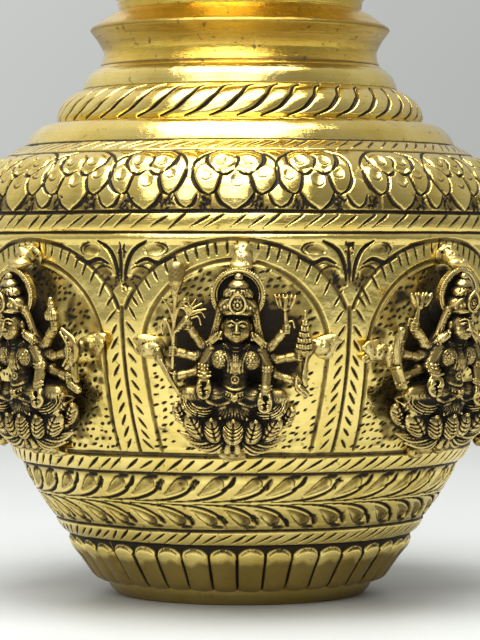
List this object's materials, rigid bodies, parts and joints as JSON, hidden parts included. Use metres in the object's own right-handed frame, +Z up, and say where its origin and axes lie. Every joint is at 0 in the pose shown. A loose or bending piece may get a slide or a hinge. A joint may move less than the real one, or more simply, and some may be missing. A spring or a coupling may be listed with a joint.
{
  "type": "ritual water pot",
  "caption": "Round-bellied brass ritual water pot on a ring foot, with chased leaf and rope bands, a flanged neck, a flared lip and seated goddess castings in arched panels.",
  "frame": {"origin": "centre of the foot, on the surface the pot stands on", "axes": "+Z up through the mouth; the first goddess casting faces -Y"},
  "size_m": [0.1808, 0.1808, 0.19],
  "materials": {
    "polished_brass": "polished high spots with dark patina in the chased recesses",
    "aged_brass": "darker antiqued cast brass, polished only on the high spots"
  },
  "bodies": {
    "root": {"foot_ring": "aged_brass", "base_disc": "aged_brass", "lower_bowl": "polished_brass", "belly_band": "polished_brass", "shoulder_dome": "polished_brass", "shoulder_ring": "polished_brass", "rope_ring": "polished_brass", "neck_step": "polished_brass", "neck_flange": "polished_brass", "neck_tube": "polished_brass", "mouth_rim": "polished_brass", "goddess_casting_1": "aged_brass", "braze_lug_1_top": "polished_brass", "braze_lug_1_left": "polished_brass", "braze_lug_1_right": "polished_brass", "braze_lug_1_bottom": "polished_brass", "goddess_casting_2": "aged_brass", "braze_lug_2_top": "polished_brass", "braze_lug_2_left": "polished_brass", "braze_lug_2_right": "polished_brass", "braze_lug_2_bottom": "polished_brass", "goddess_casting_3": "aged_brass", "braze_lug_3_top": "polished_brass", "braze_lug_3_left": "polished_brass", "braze_lug_3_right": "polished_brass", "braze_lug_3_bottom": "polished_brass", "goddess_casting_4": "aged_brass", "braze_lug_4_top": "polished_brass", "braze_lug_4_left": "polished_brass", "braze_lug_4_right": "polished_brass", "braze_lug_4_bottom": "polished_brass", "goddess_casting_5": "aged_brass", "braze_lug_5_top": "polished_brass", "braze_lug_5_left": "polished_brass", "braze_lug_5_right": "polished_brass", "braze_lug_5_bottom": "polished_brass", "goddess_casting_6": "aged_brass", "braze_lug_6_top": "polished_brass", "braze_lug_6_left": "polished_brass", "braze_lug_6_right": "polished_brass", "braze_lug_6_bottom": "polished_brass", "goddess_casting_7": "aged_brass", "braze_lug_7_top": "polished_brass", "braze_lug_7_left": "polished_brass", "braze_lug_7_right": "polished_brass", "braze_lug_7_bottom": "polished_brass", "goddess_casting_8": "aged_brass", "braze_lug_8_top": "polished_brass", "braze_lug_8_left": "polished_brass", "braze_lug_8_right": "polished_brass", "braze_lug_8_bottom": "polished_brass"}
  },
  "joints": []
}
